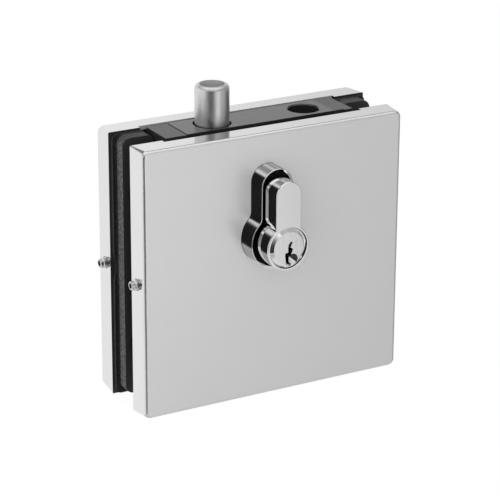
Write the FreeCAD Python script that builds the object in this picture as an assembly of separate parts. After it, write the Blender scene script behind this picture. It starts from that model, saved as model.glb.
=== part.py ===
import FreeCAD, Part
import math
import os

# Clamp-on lock for a frameless glass door: two covered halves grip the glass, a round
# bolt rises out of the top and a double profile cylinder drives it.
# Millimetres. +Z is the way the bolt is thrown, front is -Y, the origin is the
# middle of the bottom edge, half way between the two covers.

# Covers
cover_w = 105.0
cover_h = 100.0
cover_depth = 9.7
cover_gap = 17.0
cover_wall = 1.5
cover_edge_r = 1.4
corner_face_r = 2.7
corner_rim_r = 0.5
notch_side = 2.0
notch_deep = 1.8
notch_r = 0.2
least_neck_r = 0.3
body_clear = 0.3

# Glass and the layers that grip it
glass_t = 10.0
front_recess = 0.5
front_gasket_t = 1.3
back_gasket_t = 4.3
gasket_low = 2.4
gasket_top_gap = 0.6
gasket_corner_r = 3.0
flange_in = 0.6
flange_out = 1.9
flange_r = 2.0
scallop_r = 20.0
scallop_deep = 0.7
body_corner_r = 1.5
press_in = 0.5
press_corner_r = 2.0

# Lock case and faceplate
case_w = 76.0
case_t = 16.4
case_h = 55.4
case_wall = 3.0
case_side = 3.5
case_fit = 0.2
case_corner_r = 1.5
cavity_corner_r = 2.0
head_block = 9.4
plate_t = 3.0
plate_w = 15.0
plate_proud = 0.4
plate_step = 0.25
plate_left_end = 8.5
plate_right_end = 3.5
lid_edge = 2.0
lid_over = 1.8
lid_fit = 0.1

# Spare bore in the faceplate
spare_right = 16.2
spare_r = 5.7
spare_deep = 10.0
spare_edge = 0.4

# Bolt and its drive
bolt_left = 12.25
bolt_r = 6.25
bolt_side = 0.1
bolt_out = 14.6
bolt_edge_r = 1.7
bolt_throw = 15.0
bolt_bore_r = 4.45
bolt_bore_deep = 12.0
slide_fit = 0.05
bush_wall = 0.68
bush_fit = 0.02
bush_down = 1.0
shoulder_gap = 0.3
carrier_left = 6.75
carrier_right = 3.25
carrier_foot = 6.1
carrier_guide = 0.7
notch_room = 0.7
tongue_w = 8.0
tongue_t = 4.0
tongue_h = 8.0
tongue_room = 0.5
pin_r = 1.5
pin_short = 0.4

# Cylinder
cyl_x = -3.5
cyl_down = 38.0
cyl_half = 34.0
cyl_r = 8.5
web_half = 5.0
web_top = 19.5
neck_r = 0.8
cyl_edge_r = 0.35
plug_r = 6.5
plug_head_r = 7.55
plug_head_t = 2.4
plug_fit = 0.05
plug_bevel = 1.3
plug_bevel_drop = 0.35
key_grid = 0.1
dimple_x = 1.7
dimple_z = -4.4
dimple_r = 2.01
dimple_deep = 1.33
slot_half = 5.8
clip_room = 0.85
clip_proud = 0.9
clip_deep = 0.75
clip_fit = 0.05
clip_mouth = 2.2
cam_half = 4.8
cam_r = 8.0
cam_bore_r = 5.0
cam_arc = 72.0
cam_reach = 15.6
nose_tip_r = 2.4
nose_slack = 0.5
lip_run = 2.1
lip_ease = 3.0
chambers = 5
chamber_pitch = 4.0
chamber_first = 5.5
chamber_r = 1.5
chamber_high = 21.5
chamber_low = 1.5
key_pin_len = 5.35
key_pin_step = 0.45
key_pin_gap = 0.25
shear_gap = 0.12
driver_len = 4.8
spring_fit = 0.1
spring_skin = 0.35
cyl_screw_up = 20.2
cyl_screw_short = 1.0
wing_half = 6.1
wing_t = 2.0
drive_half = 4.0
drive_t = 2.4
drive_in = 1.55
drive_out = 0.95
drive_slot = 1.8
drive_fit = 0.1
clutch_short = 1.2

# Raised collar round the cylinder
collar_h = 7.8
collar_r = 10.3
collar_web_half = 6.3
collar_web_top = 20.6
collar_neck_r = 3.5
collar_wall = 0.8
collar_bottom = 2.8
collar_lip = 1.2
collar_lip_t = 1.0
collar_fit = 0.1
collar_mouth = 0.15
collar_edge_r = 0.2
cyl_pass = 0.4

# Fasteners
clamp_side = 6.5
clamp_edge = 22.0
clamp_r = 2.5
clamp_head_r = 5.0
clamp_sunk = 0.2
clamp_hex = 3.0
clamp_len = 29.0
sleeve_r = 4.0
sleeve_short = 0.3
set_r = 2.0
set_in = 4.1
set_len = 8.0
set_out = 2.5
set_deeper = 0.7
set_room = 1.2
set_point = 1.2
set_chamfer = 0.5
set_hex = 2.0
set_hex_deep = 2.4
lid_screw_r = 1.5
lid_screw_len = 11.0
lid_head_r = 2.75
lid_hex = 2.0
lid_post_r = 3.5
lid_post_in = 2.5
lid_post_up = 6.5
lid_post_drop = 15.0
plate_screw_r = 1.5
plate_screw_right = 8.1
plate_screw_in = 1.8
plate_head_r = 2.75
plate_head_t = 2.0
plate_hex = 2.5
plate_hex_deep = 1.4
hex_share = 0.9
sink_fit = 0.3
hole_fit = 0.2
thread_fit = 0.02
pad_r = 2.4
pad_up = 6.1
pad_len = 3.0
pad_block = 4.6
spring_seat = 1.0
spring_wire = 0.3
spring_room = 0.15
spring_turns = 5
over = 1.0

# Places that follow from the sizes above
rim_y = cover_gap / 2
face_y = rim_y + cover_depth
inner_y = face_y - cover_wall
half_w = cover_w / 2
body_half = half_w - cover_wall - body_clear
body_low = cover_wall + body_clear
body_top = cover_h - cover_wall - body_clear
glass_front = -rim_y - front_recess
glass_back = glass_front + glass_t
back_pad_y = glass_back + back_gasket_t
front_pad_y = glass_front - front_gasket_t
gasket_top = cover_h - gasket_top_gap
plate_top = cover_h + plate_proud
case_top = plate_top - plate_t
case_low = case_top - case_h
case_half = case_w / 2
case_y = case_t / 2
cavity_y = bolt_r + bolt_side
head_low = case_top - head_block
cavity_low = case_low + case_wall
cavity_half = case_half - case_side
notch_half = case_half + notch_side
clamp_x = half_w - cover_wall - clamp_side
set_y = rim_y + set_in
set_z = cover_h / 2
cyl_z = cover_h - cyl_down
bolt_x = cyl_x - bolt_left
spare_x = case_half - spare_right
bolt_top = plate_top + bolt_out
carrier_top = head_low - shoulder_gap
bush_r = bolt_r + slide_fit + bush_wall
nose_mid_r = bolt_throw / 2 / math.sin(math.radians(cam_arc / 2))
nose_z = cyl_z + bolt_throw / 2
carrier_low = nose_z - nose_tip_r - nose_slack - carrier_foot
pad_z = carrier_low + pad_up
plug_inner = slot_half - clip_room
plate_screws = (-(cavity_half + carrier_left - bolt_x) / 2, case_half - plate_screw_right)
driver_low = cyl_z + plug_r + shear_gap


def V(x, y, z):
    return FreeCAD.Vector(x, y, z)


def box(x0, x1, y0, y1, z0, z1):
    return Part.makeBox(x1 - x0, y1 - y0, z1 - z0, V(x0, y0, z0))


def rod(radius, start, direction, length):
    return Part.makeCylinder(radius, length, start, direction)


def cone(r0, r1, start, direction, length):
    return Part.makeCone(r0, r1, length, start, direction)


def along_y(radius, x, z, y0, y1):
    return rod(radius, V(x, y0, z), V(0, 1, 0), y1 - y0)


def rounded_wire(x0, x1, z0, z1, radius, y):
    # Rounded rectangle in the plane of the door.
    d = radius * (1 - math.sqrt(0.5))
    pts = [(x0 + radius, z0), (x1 - radius, z0), (x1, z0 + radius), (x1, z1 - radius),
           (x1 - radius, z1), (x0 + radius, z1), (x0, z1 - radius), (x0, z0 + radius)]
    mids = [(x1 - d, z0 + d), (x1 - d, z1 - d), (x0 + d, z1 - d), (x0 + d, z0 + d)]
    edges = []
    for i in range(4):
        a = V(pts[2 * i][0], y, pts[2 * i][1])
        b = V(pts[2 * i + 1][0], y, pts[2 * i + 1][1])
        c = V(pts[(2 * i + 2) % 8][0], y, pts[(2 * i + 2) % 8][1])
        m = V(mids[i][0], y, mids[i][1])
        edges.append(Part.LineSegment(a, b).toShape())
        edges.append(Part.Arc(b, m, c).toShape())
    return Part.Wire(edges)


def rounded_slab(x0, x1, z0, z1, radius, y0, y1):
    face = Part.Face(rounded_wire(x0, x1, z0, z1, radius, y0))
    return face.extrude(V(0, y1 - y0, 0))


def key_hole_prism(radius, half, top, neck, y0, y1):
    # Profile of a euro cylinder: a round below, a narrower round-topped web above.
    cz = math.sqrt((radius + neck) ** 2 - (half + neck) ** 2)
    tx = (half + neck) * radius / (radius + neck)
    tz = cz * radius / (radius + neck)
    mid = math.pi + math.atan2(cz - tz, half + neck - tx) / 2
    mx = half + neck + neck * math.cos(mid)
    mz = cz + neck * math.sin(mid)

    def p(u, w):
        return V(cyl_x + u, y0, cyl_z + w)

    edges = [Part.Arc(p(tx, tz), p(0, -radius), p(-tx, tz)).toShape(),
             Part.Arc(p(-tx, tz), p(-mx, mz), p(-half, cz)).toShape(),
             Part.LineSegment(p(-half, cz), p(-half, top)).toShape(),
             Part.Arc(p(-half, top), p(0, top + half), p(half, top)).toShape(),
             Part.LineSegment(p(half, top), p(half, cz)).toShape(),
             Part.Arc(p(half, cz), p(mx, mz), p(tx, tz)).toShape()]
    return Part.Face(Part.Wire(edges)).extrude(V(0, y1 - y0, 0))


def cylinder_prism(grow, y0, y1):
    return key_hole_prism(cyl_r + grow, web_half + grow, web_top, max(neck_r - grow, least_neck_r), y0, y1)


def collar_prism(grow, y0, y1):
    neck = max(collar_neck_r - grow, least_neck_r)
    return key_hole_prism(collar_r + grow, collar_web_half + grow, collar_web_top, neck, y0, y1)


def edges_on_y(shape, y):
    # Edges that lie wholly in one plane of constant Y.
    out = []
    for e in shape.Edges:
        b = e.BoundBox
        if abs(b.YMin - y) < 1e-3 and abs(b.YMax - y) < 1e-3:
            out.append(e)
    return out


def mirror_y(shape):
    return shape.mirror(V(0, 0, 0), V(0, 1, 0))


def save(name, shape):
    shape.exportStep("parts/" + name + ".step")
    print(name, len(shape.Solids), round(shape.Volume, 1), shape.isValid())


def clamp_points():
    return [(s * clamp_x, z) for s in (-1, 1) for z in (clamp_edge, cover_h - clamp_edge)]


def lid_points():
    heights = (case_low + lid_post_up, head_low - lid_post_drop)
    return [(s * (cavity_half - lid_post_in), z) for s in (-1, 1) for z in heights]


def clear_of_sleeves(shape):
    # The clamp sleeves pass beside the case, and through its edge where it is wide.
    for x, z in clamp_points():
        shape = shape.cut(along_y(sleeve_r + case_fit, x, z, -case_y - over, case_y + over))
    return shape


def cover():
    # Front cover: a drawn tray whose corners soften towards the face.
    rim = rounded_wire(-half_w, half_w, 0, cover_h, corner_rim_r, -rim_y)
    face = rounded_wire(-half_w, half_w, 0, cover_h, corner_face_r, -face_y)
    outer = Part.makeLoft([rim, face], True, True)
    outer = outer.makeFillet(cover_edge_r, edges_on_y(outer, -face_y))
    hollow = rounded_slab(-half_w + cover_wall, half_w - cover_wall, cover_wall,
                          cover_h - cover_wall, corner_rim_r, -inner_y, -rim_y + over)
    tray = outer.cut(hollow)
    notch = rounded_slab(-notch_half, notch_half, cover_h - 2 * cover_wall, cover_h + over, notch_r,
                         -rim_y - notch_deep, -rim_y + over)
    tray = tray.cut(notch)
    tray = tray.cut(collar_prism(collar_fit, -face_y - over, -inner_y + over))
    for side in (-1, 1):
        start = V(side * (half_w - cover_wall - over), -set_y, set_z)
        tray = tray.cut(rod(set_r + hole_fit, start, V(side, 0, 0), cover_wall + 2 * over))
    return tray


def collar():
    # Escutcheon pushed through the cover from inside, kept by a lip behind it.
    low = -face_y - collar_h
    body = collar_prism(0, low, -inner_y)
    body = body.makeFillet(collar_edge_r, edges_on_y(body, low))
    body = body.fuse(collar_prism(collar_lip, -inner_y, -inner_y + collar_lip_t))
    floor = -face_y - collar_bottom
    body = body.cut(collar_prism(-collar_wall, low - over, floor))
    body = body.cut(cylinder_prism(collar_mouth, floor - over, -inner_y + collar_lip_t + over))
    return body.removeSplitter()


def set_screw_holes(y):
    holes = []
    for side in (-1, 1):
        inner = half_w + set_out - set_len - set_room
        holes.append(rod(set_r + thread_fit, V(side * inner, y, set_z), V(side, 0, 0), set_len))
    return holes


def front_body():
    # Cast front half with a raised pad that bears on the lock case.
    block = rounded_slab(-body_half, body_half, body_low, body_top, body_corner_r,
                         -inner_y, front_pad_y)
    pad = rounded_slab(-case_half + press_in, case_half - press_in, case_low + 2 * press_in,
                       case_top - press_in, press_corner_r, front_pad_y, -case_y)
    block = block.fuse(pad)
    block = block.cut(cylinder_prism(cyl_pass, -inner_y - over, 0))
    lip = collar_lip + hole_fit
    block = block.cut(collar_prism(lip, -inner_y - over, -inner_y + collar_lip_t + hole_fit))
    for x, z in clamp_points():
        block = block.cut(along_y(clamp_r + hole_fit, x, z, -inner_y - over, 0))
        block = block.cut(cone(clamp_head_r + sink_fit, clamp_r + hole_fit, V(x, -inner_y, z), V(0, 1, 0),
                               clamp_head_r + sink_fit - clamp_r - hole_fit))
    for hole in set_screw_holes(-set_y):
        block = block.cut(hole)
    return block.removeSplitter()


def back_body():
    # Cast back half: a shoulder stands out of the cover and carries the gasket, and a
    # flange round it covers the cover's rim, hollowed a little beside each set screw.
    block = rounded_slab(-body_half, body_half, body_low, body_top, body_corner_r,
                         rim_y, inner_y)
    shoulder = rounded_slab(-body_half, body_half, gasket_low, gasket_top, gasket_corner_r,
                            back_pad_y, rim_y)
    flange_half = half_w - flange_in
    flange = rounded_slab(-flange_half, flange_half, flange_in, cover_h - flange_in, flange_r,
                          rim_y - flange_out, rim_y)
    for side in (-1, 1):
        scallop_x = side * (flange_half + scallop_r - scallop_deep)
        flange = flange.cut(along_y(scallop_r, scallop_x, set_z, rim_y - flange_out - over, rim_y + over))
    block = block.fuse(shoulder).fuse(flange)
    pocket = box(-case_half - case_fit, case_half + case_fit, back_pad_y - over, case_y,
                 case_low - case_fit, cover_h + over)
    relief = box(-notch_half, notch_half, back_pad_y - over, rim_y + notch_deep, case_top, cover_h + over)
    block = block.cut(pocket).cut(relief)
    block = block.cut(cylinder_prism(cyl_pass, 0, inner_y + over))
    lip = collar_lip + hole_fit
    block = block.cut(collar_prism(lip, inner_y - collar_lip_t - hole_fit, inner_y + over))
    reach = -inner_y + clamp_len + over
    for x, z in clamp_points():
        block = block.cut(along_y(clamp_r + thread_fit, x, z, 0, reach))
    for hole in set_screw_holes(set_y):
        block = block.cut(hole)
    return block.removeSplitter()


def gasket(y0, y1, top):
    # Rubber pad with a gate open at the top for the lock case.
    pad = rounded_slab(-body_half, body_half, gasket_low, top, gasket_corner_r, y0, y1)
    gate = box(-case_half - case_fit, case_half + case_fit, y0 - over, y1 + over,
               case_low - case_fit, cover_h + over)
    pad = pad.cut(gate)
    rounds = []
    for e in pad.Edges:
        b = e.BoundBox
        at_gate = abs(abs(b.Center.x) - case_half - case_fit) < 1e-3
        if at_gate and b.XLength < 1e-3 and b.ZLength < 1e-3 and b.Center.z > case_top:
            rounds.append(e)
    pad = pad.makeFillet(gasket_corner_r, rounds)
    for x, z in clamp_points():
        pad = pad.cut(along_y(sleeve_r + hole_fit, x, z, y0 - over, y1 + over))
    return pad


def hex_prism(across, start, direction, depth):
    radius = across / math.sqrt(3)
    turn = FreeCAD.Rotation(V(0, 0, 1), direction)
    pts = []
    for i in range(7):
        a = math.radians(60 * i)
        pts.append(start + turn.multVec(V(radius * math.cos(a), radius * math.sin(a), 0)))
    return Part.Face(Part.makePolygon(pts)).extrude(direction * depth)


def countersunk(radius, head_r, length, start, direction, socket):
    # Flat-headed screw whose head lies flush at start and whose shank runs along direction.
    head_t = head_r - radius
    screw = cone(head_r, radius, start, direction, head_t)
    screw = screw.fuse(rod(radius, start + direction * head_t, direction, length - head_t))
    screw = screw.cut(hex_prism(socket, start, direction, head_t * hex_share))
    return screw.removeSplitter()


def clamp_screws():
    out = []
    for x, z in clamp_points():
        start = V(x, -inner_y + clamp_sunk, z)
        out.append(countersunk(clamp_r, clamp_head_r, clamp_len, start, V(0, 1, 0), clamp_hex))
    return Part.makeCompound(out)


def clamp_sleeves():
    # Nylon tubes between the halves, through the gaskets and the holes of the glass.
    out = []
    for x, z in clamp_points():
        tube = along_y(sleeve_r, x, z, front_pad_y, back_pad_y - sleeve_short)
        out.append(tube.cut(along_y(clamp_r + hole_fit, x, z, front_pad_y - over, back_pad_y + over)))
    return Part.makeCompound(out)


def set_screws():
    # The front right one is turned in a little further than the others.
    out = []
    shank = set_len - set_point - set_chamfer
    for side in (-1, 1):
        for y in (-set_y, set_y):
            stands = set_out - set_deeper if side > 0 and y < 0 else set_out
            tip = V(side * (half_w + stands - set_len), y, set_z)
            run = V(side, 0, 0)
            end = tip + run * set_len
            screw = cone(set_r - set_point, set_r, tip, run, set_point)
            screw = screw.fuse(rod(set_r, tip + run * set_point, run, shank))
            screw = screw.fuse(cone(set_r, set_r - set_chamfer, end - run * set_chamfer, run, set_chamfer))
            screw = screw.removeSplitter()
            screw = screw.cut(hex_prism(set_hex, end - run * set_hex_deep, run, set_hex_deep + over))
            out.append(screw)
    return Part.makeCompound(out)


def lock_case():
    # Cast tray, open to the front, with a thick head that guides the bolt.
    case = rounded_slab(-case_half, case_half, case_low, case_top, case_corner_r, -case_y, case_y)
    cavity = rounded_slab(-cavity_half, cavity_half, cavity_low, head_low, cavity_corner_r,
                          -case_y - over, cavity_y)
    case = case.cut(cavity)
    rebate = rounded_slab(-case_half + lid_edge - lid_fit, case_half - lid_edge + lid_fit,
                          case_low + lid_edge - lid_fit, head_low + lid_over + lid_fit, cavity_corner_r,
                          -case_y - over, -cavity_y)
    for x, z in lid_points():
        post = along_y(lid_post_r, x, z, -cavity_y, cavity_y)
        web = box(min(x, math.copysign(cavity_half, x)), max(x, math.copysign(cavity_half, x)),
                  -cavity_y, cavity_y, z - lid_post_r, z + lid_post_r)
        case = case.fuse(post).fuse(web)
    block_right = bolt_x - carrier_left - carrier_guide
    guide = box(-cavity_half, block_right, -cavity_y, cavity_y, pad_z - pad_block, pad_z + pad_block)
    case = case.fuse(guide)
    case = case.cut(rebate)
    case = case.cut(rod(bush_r + bush_fit, V(bolt_x, 0, head_low - over), V(0, 0, 1), head_block + 2 * over))
    case = case.cut(rod(spare_r, V(spare_x, 0, plate_top - spare_deep), V(0, 0, 1), spare_deep))
    case = case.cut(cylinder_prism(cyl_pass, 0, case_y + over))
    for x, z in lid_points():
        case = case.cut(along_y(lid_screw_r + thread_fit, x, z, -case_y, cavity_y - over))
    for x in plate_screws:
        hole = rod(plate_screw_r + hole_fit, V(x, 0, head_low - over), V(0, 0, 1), head_block + 2 * over)
        case = case.cut(hole)
    case = case.cut(rod(clamp_r + hole_fit, V(0, 0, cyl_z + cyl_screw_up), V(1, 0, 0), case_w))
    sink = clamp_head_r - clamp_r
    case = case.cut(cone(clamp_r + hole_fit, clamp_head_r, V(case_half - sink, 0, cyl_z + cyl_screw_up),
                         V(1, 0, 0), sink))
    bore_start = -cavity_half - spring_seat
    case = case.cut(rod(pad_r + slide_fit, V(bore_start, 0, pad_z), V(1, 0, 0), cavity_half))
    return clear_of_sleeves(case).removeSplitter()


def case_lid():
    lid = rounded_slab(-case_half + lid_edge, case_half - lid_edge, case_low + lid_edge,
                       head_low + lid_over, cavity_corner_r, -case_y, -cavity_y)
    lid = lid.cut(cylinder_prism(cyl_pass, -case_y - over, 0))
    lid = lid.cut(rod(bush_r + hole_fit, V(bolt_x, 0, head_low - hole_fit), V(0, 0, 1), head_block))
    for x, z in lid_points():
        lid = lid.cut(along_y(lid_screw_r + hole_fit, x, z, -case_y - over, 0))
        lid = lid.cut(cone(lid_head_r + sink_fit, lid_screw_r + hole_fit, V(x, -case_y, z), V(0, 1, 0),
                           lid_head_r + sink_fit - lid_screw_r - hole_fit))
    return clear_of_sleeves(lid)


def lid_screws():
    out = []
    for x, z in lid_points():
        start = V(x, -case_y, z)
        out.append(countersunk(lid_screw_r, lid_head_r, lid_screw_len, start, V(0, 1, 0), lid_hex))
    return Part.makeCompound(out)


def faceplate():
    half = plate_w / 2
    plate = box(-case_half, case_half, -half, half, case_top, plate_top)
    plate = plate.cut(box(-case_half - over, -case_half + plate_left_end, -half - over, half + over,
                          plate_top - plate_step, plate_top + over))
    plate = plate.cut(box(case_half - plate_right_end, case_half + over, -half - over, half + over,
                          plate_top - plate_step, plate_top + over))
    low = case_top - over
    plate = plate.cut(rod(bush_r + bush_fit, V(bolt_x, 0, low), V(0, 0, 1), plate_t + 2 * over))
    plate = plate.cut(rod(spare_r, V(spare_x, 0, low), V(0, 0, 1), plate_t + 2 * over))
    plate = plate.cut(cone(spare_r, spare_r + spare_edge, V(spare_x, 0, plate_top - spare_edge), V(0, 0, 1),
                           spare_edge))
    deep = over + plate_screw_in + hole_fit
    for x in plate_screws:
        plate = plate.cut(rod(plate_screw_r + thread_fit, V(x, 0, low), V(0, 0, 1), deep))
    return plate


def faceplate_screws():
    # Driven upwards from inside the case, so nothing shows on the plate.
    out = []
    for x in plate_screws:
        start = V(x, 0, head_low - plate_head_t)
        head = rod(plate_head_r, start, V(0, 0, 1), plate_head_t)
        shank = rod(plate_screw_r, V(x, 0, head_low), V(0, 0, 1), head_block + plate_screw_in)
        screw = head.fuse(shank).removeSplitter()
        out.append(screw.cut(hex_prism(plate_hex, start, V(0, 0, 1), plate_hex_deep)))
    return Part.makeCompound(out)


def bolt():
    body = rod(bolt_r, V(bolt_x, 0, carrier_top), V(0, 0, 1), bolt_top - carrier_top)
    rim = [e for e in body.Edges if abs(e.BoundBox.ZMin - bolt_top) < 1e-3]
    body = body.makeFillet(bolt_edge_r, rim)
    bore = rod(bolt_bore_r, V(bolt_x, 0, bolt_top - bolt_bore_deep), V(0, 0, 1), bolt_bore_deep + over)
    body = body.cut(bore)
    slot_t = tongue_t / 2 + slide_fit
    body = body.cut(box(bolt_x - bolt_r - over, bolt_x + bolt_r + over, -slot_t, slot_t,
                        carrier_top - over, carrier_top + tongue_h + tongue_room))
    pin_z = carrier_top + tongue_h / 2
    return body.cut(along_y(pin_r + thread_fit, bolt_x, pin_z, -bolt_r - over, bolt_r + over))


def bolt_carrier():
    # Flat slide with a notch that the cam nose sweeps through.
    left = bolt_x - carrier_left
    right = bolt_x + carrier_right
    low = nose_z - nose_tip_r - nose_slack
    high = nose_z + nose_tip_r + nose_slack
    deep = cyl_x - nose_mid_r - nose_tip_r - notch_room
    drop = lip_run * math.tan(math.radians(cam_arc / 2 + lip_ease))
    pts = [(left, carrier_low), (right, carrier_low), (right, low - drop), (right - lip_run, low),
           (deep, low), (deep, high), (right - lip_run, high), (right, high + drop),
           (right, carrier_top), (left, carrier_top), (left, carrier_low)]
    face = Part.Face(Part.makePolygon([V(x, -bolt_r, z) for x, z in pts]))
    slide = face.extrude(V(0, 2 * bolt_r, 0))
    tongue = box(bolt_x - tongue_w / 2, bolt_x + tongue_w / 2, -tongue_t / 2, tongue_t / 2,
                 carrier_top, carrier_top + tongue_h)
    slide = slide.fuse(tongue).removeSplitter()
    pin_z = carrier_top + tongue_h / 2
    return slide.cut(along_y(pin_r + thread_fit, bolt_x, pin_z, -bolt_r - over, bolt_r + over))


def carrier_pin():
    return along_y(pin_r, bolt_x, carrier_top + tongue_h / 2, -bolt_r + pin_short, bolt_r - pin_short)


def bolt_bush():
    low = V(bolt_x, 0, head_low)
    height = plate_top - bush_down - head_low
    tube = rod(bush_r, low, V(0, 0, 1), height)
    return tube.cut(rod(bolt_r + slide_fit, low - V(0, 0, over), V(0, 0, 1), height + 2 * over))


def friction_pad():
    return rod(pad_r, V(bolt_x - carrier_left - slide_fit - pad_len, 0, pad_z), V(1, 0, 0), pad_len)


def pad_spring():
    # Coil that presses the pad against the slide.
    x0 = -cavity_half - spring_seat + spring_wire
    x1 = bolt_x - carrier_left - slide_fit - pad_len - spring_wire
    radius = pad_r - spring_wire - spring_room
    helix = Part.makeHelix((x1 - x0) / spring_turns, x1 - x0, radius)
    helix.rotate(V(0, 0, 0), V(0, 1, 0), 90)
    helix.translate(V(x0, 0, pad_z))
    start = helix.Edges[0].valueAt(helix.Edges[0].FirstParameter)
    tangent = helix.Edges[0].tangentAt(helix.Edges[0].FirstParameter)
    ring = Part.Wire(Part.Circle(start, tangent, spring_wire).toShape())
    return Part.Wire(helix).makePipeShell([ring], True, True)


def cylinder_housing():
    # One brass body, bored from both ends, cut away in the middle for the cam.
    body = cylinder_prism(0, -cyl_half, cyl_half)
    ends = edges_on_y(body, -cyl_half) + edges_on_y(body, cyl_half)
    body = body.makeFillet(cyl_edge_r, ends)
    body = body.cut(along_y(plug_r + plug_fit, cyl_x, cyl_z, -cyl_half - over, cyl_half + over))
    for side in (-1, 1):
        y = side * cyl_half
        body = body.cut(along_y(plug_head_r + plug_fit, cyl_x, cyl_z, min(y, y - side * plug_head_t),
                                max(y, y - side * plug_head_t)))
    top = cyl_z + cam_reach
    body = body.cut(box(cyl_x - cyl_r - over, cyl_x + cyl_r + over, -slot_half, slot_half,
                        cyl_z - cyl_r - over, top))
    for y in chamber_places():
        body = body.cut(rod(chamber_r, V(cyl_x, y, cyl_z), V(0, 0, 1), chamber_high))
    screw_z = cyl_z + cyl_screw_up
    return body.cut(rod(clamp_r + thread_fit, V(cyl_x - web_half - over, 0, screw_z), V(1, 0, 0),
                        2 * (web_half + over)))


def chamber_places():
    out = []
    for side in (-1, 1):
        for i in range(chambers):
            out.append(side * (cyl_half - chamber_first - chamber_pitch * i))
    return out


def key_way(y0, y1):
    # Warded key slot, open at the bottom of the plug.
    right = [(14, 23), (15, 17), (8, 2), (18, -6), (12, -21), (7.5, -34), (4, -54), (14, -64), (12, -71)]
    left = [(-8, -71), (-10, -61), (-14.5, -25), (-12.5, -17.5), (-1.5, -16.5), (-3, 4), (1.5, 15), (7.5, 23)]
    pts = [V(cyl_x + u * key_grid, y0, cyl_z + w * key_grid) for u, w in right + left]
    pts.append(pts[0])
    return Part.Face(Part.makePolygon(pts)).extrude(V(0, y1 - y0, 0))


def plug(tongue_len):
    # Front plug: a bevelled head, a keyed barrel and a tongue for the clutch.
    flat = plug_head_r - plug_bevel
    y = -cyl_half
    head = cone(flat, plug_head_r, V(cyl_x, y, cyl_z), V(0, 1, 0), plug_bevel_drop)
    head = head.fuse(along_y(plug_head_r, cyl_x, cyl_z, y + plug_bevel_drop, y + plug_head_t - plug_fit))
    barrel = along_y(plug_r, cyl_x, cyl_z, y + plug_head_t - plug_fit, -plug_inner)
    body = head.fuse(barrel).removeSplitter()
    groove = along_y(plug_r + over, cyl_x, cyl_z, -slot_half + clip_fit, -plug_inner - clip_fit)
    groove = groove.cut(along_y(plug_r - clip_deep - clip_fit, cyl_x, cyl_z, -slot_half, -plug_inner))
    body = body.cut(groove)
    body = body.cut(key_way(y - over, -slot_half - over))
    ball = (dimple_r ** 2 + dimple_deep ** 2) / (2 * dimple_deep)
    centre = V(cyl_x + dimple_x, y - ball + dimple_deep, cyl_z + dimple_z)
    body = body.cut(Part.makeSphere(ball, centre))
    for place in chamber_places():
        if place < 0:
            body = body.cut(rod(chamber_r, V(cyl_x, place, cyl_z - chamber_low), V(0, 0, 1), chamber_high))
    body = body.fuse(box(cyl_x - drive_half, cyl_x + drive_half, -plug_inner, -plug_inner + tongue_len,
                         cyl_z - drive_t / 2, cyl_z + drive_t / 2))
    return body.removeSplitter()


def key_pins():
    out = []
    top = plug_r - key_pin_gap
    front = [place for place in chamber_places() if place < 0]
    for i, place in enumerate(front):
        length = key_pin_len + key_pin_step * ((i * 2) % chambers)
        out.append(rod(chamber_r - slide_fit, V(cyl_x, place, cyl_z + top - length), V(0, 0, 1), length))
    return Part.makeCompound(out)


def driver_pins():
    out = []
    for place in chamber_places():
        out.append(rod(chamber_r - slide_fit, V(cyl_x, place, driver_low), V(0, 0, 1), driver_len))
    return Part.makeCompound(out)


def driver_springs():
    out = []
    low = driver_low + driver_len
    height = cyl_z + chamber_high - low
    outer = chamber_r - spring_fit
    for place in chamber_places():
        tube = rod(outer, V(cyl_x, place, low), V(0, 0, 1), height)
        out.append(tube.cut(rod(outer - spring_skin, V(cyl_x, place, low), V(0, 0, 1), height)))
    return Part.makeCompound(out)


def circlip():
    y0 = -slot_half + 2 * clip_fit
    y1 = -plug_inner - 2 * clip_fit
    ring = along_y(plug_r + clip_proud, cyl_x, cyl_z, y0, y1)
    ring = ring.cut(along_y(plug_r - clip_deep, cyl_x, cyl_z, y0 - over, y1 + over))
    return ring.cut(box(cyl_x - clip_mouth, cyl_x + clip_mouth, y0 - over, y1 + over, cyl_z - cyl_r, cyl_z))


def cam():
    # Ring with one driving nose, drawn at rest with the nose turned up by half its arc.
    ring = along_y(cam_r, cyl_x, cyl_z, -cam_half, cam_half)
    nose = box(cyl_x - nose_mid_r, cyl_x, -cam_half, cam_half, cyl_z - nose_tip_r, cyl_z + nose_tip_r)
    tip = along_y(nose_tip_r, cyl_x - nose_mid_r, cyl_z, -cam_half, cam_half)
    body = ring.fuse(nose).fuse(tip).removeSplitter()
    body = body.cut(along_y(cam_bore_r, cyl_x, cyl_z, -cam_half - over, cam_half + over))
    wide = wing_half + drive_fit
    tall = wing_t / 2 + slide_fit
    body = body.cut(box(cyl_x - wide, cyl_x + wide, -cam_half - over, cam_half + over,
                        cyl_z - tall, cyl_z + tall))
    body.rotate(V(cyl_x, 0, cyl_z), V(0, 1, 0), cam_arc / 2)
    return body


def cam_clutch():
    # Sits inside the cam; wings key it to the cam, a slot takes the front plug's tongue.
    y1 = cam_half - clutch_short
    body = along_y(cam_bore_r - slide_fit, cyl_x, cyl_z, -cam_half, y1)
    wings = box(cyl_x - wing_half, cyl_x + wing_half, -cam_half, y1, cyl_z - wing_t / 2, cyl_z + wing_t / 2)
    body = body.fuse(wings).removeSplitter()
    body.rotate(V(cyl_x, 0, cyl_z), V(0, 1, 0), cam_arc / 2)
    wide = drive_half + drive_fit
    tall = drive_t / 2 + slide_fit
    return body.cut(box(cyl_x - wide, cyl_x + wide, -cam_half - over, -cam_half + drive_slot,
                        cyl_z - tall, cyl_z + tall))


def cylinder_screw():
    length = case_half - cyl_x + web_half - cyl_screw_short
    start = V(case_half, 0, cyl_z + cyl_screw_up)
    return countersunk(clamp_r, clamp_head_r - sink_fit, length, start, V(-1, 0, 0), clamp_hex)


os.makedirs("parts", exist_ok=True)

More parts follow.
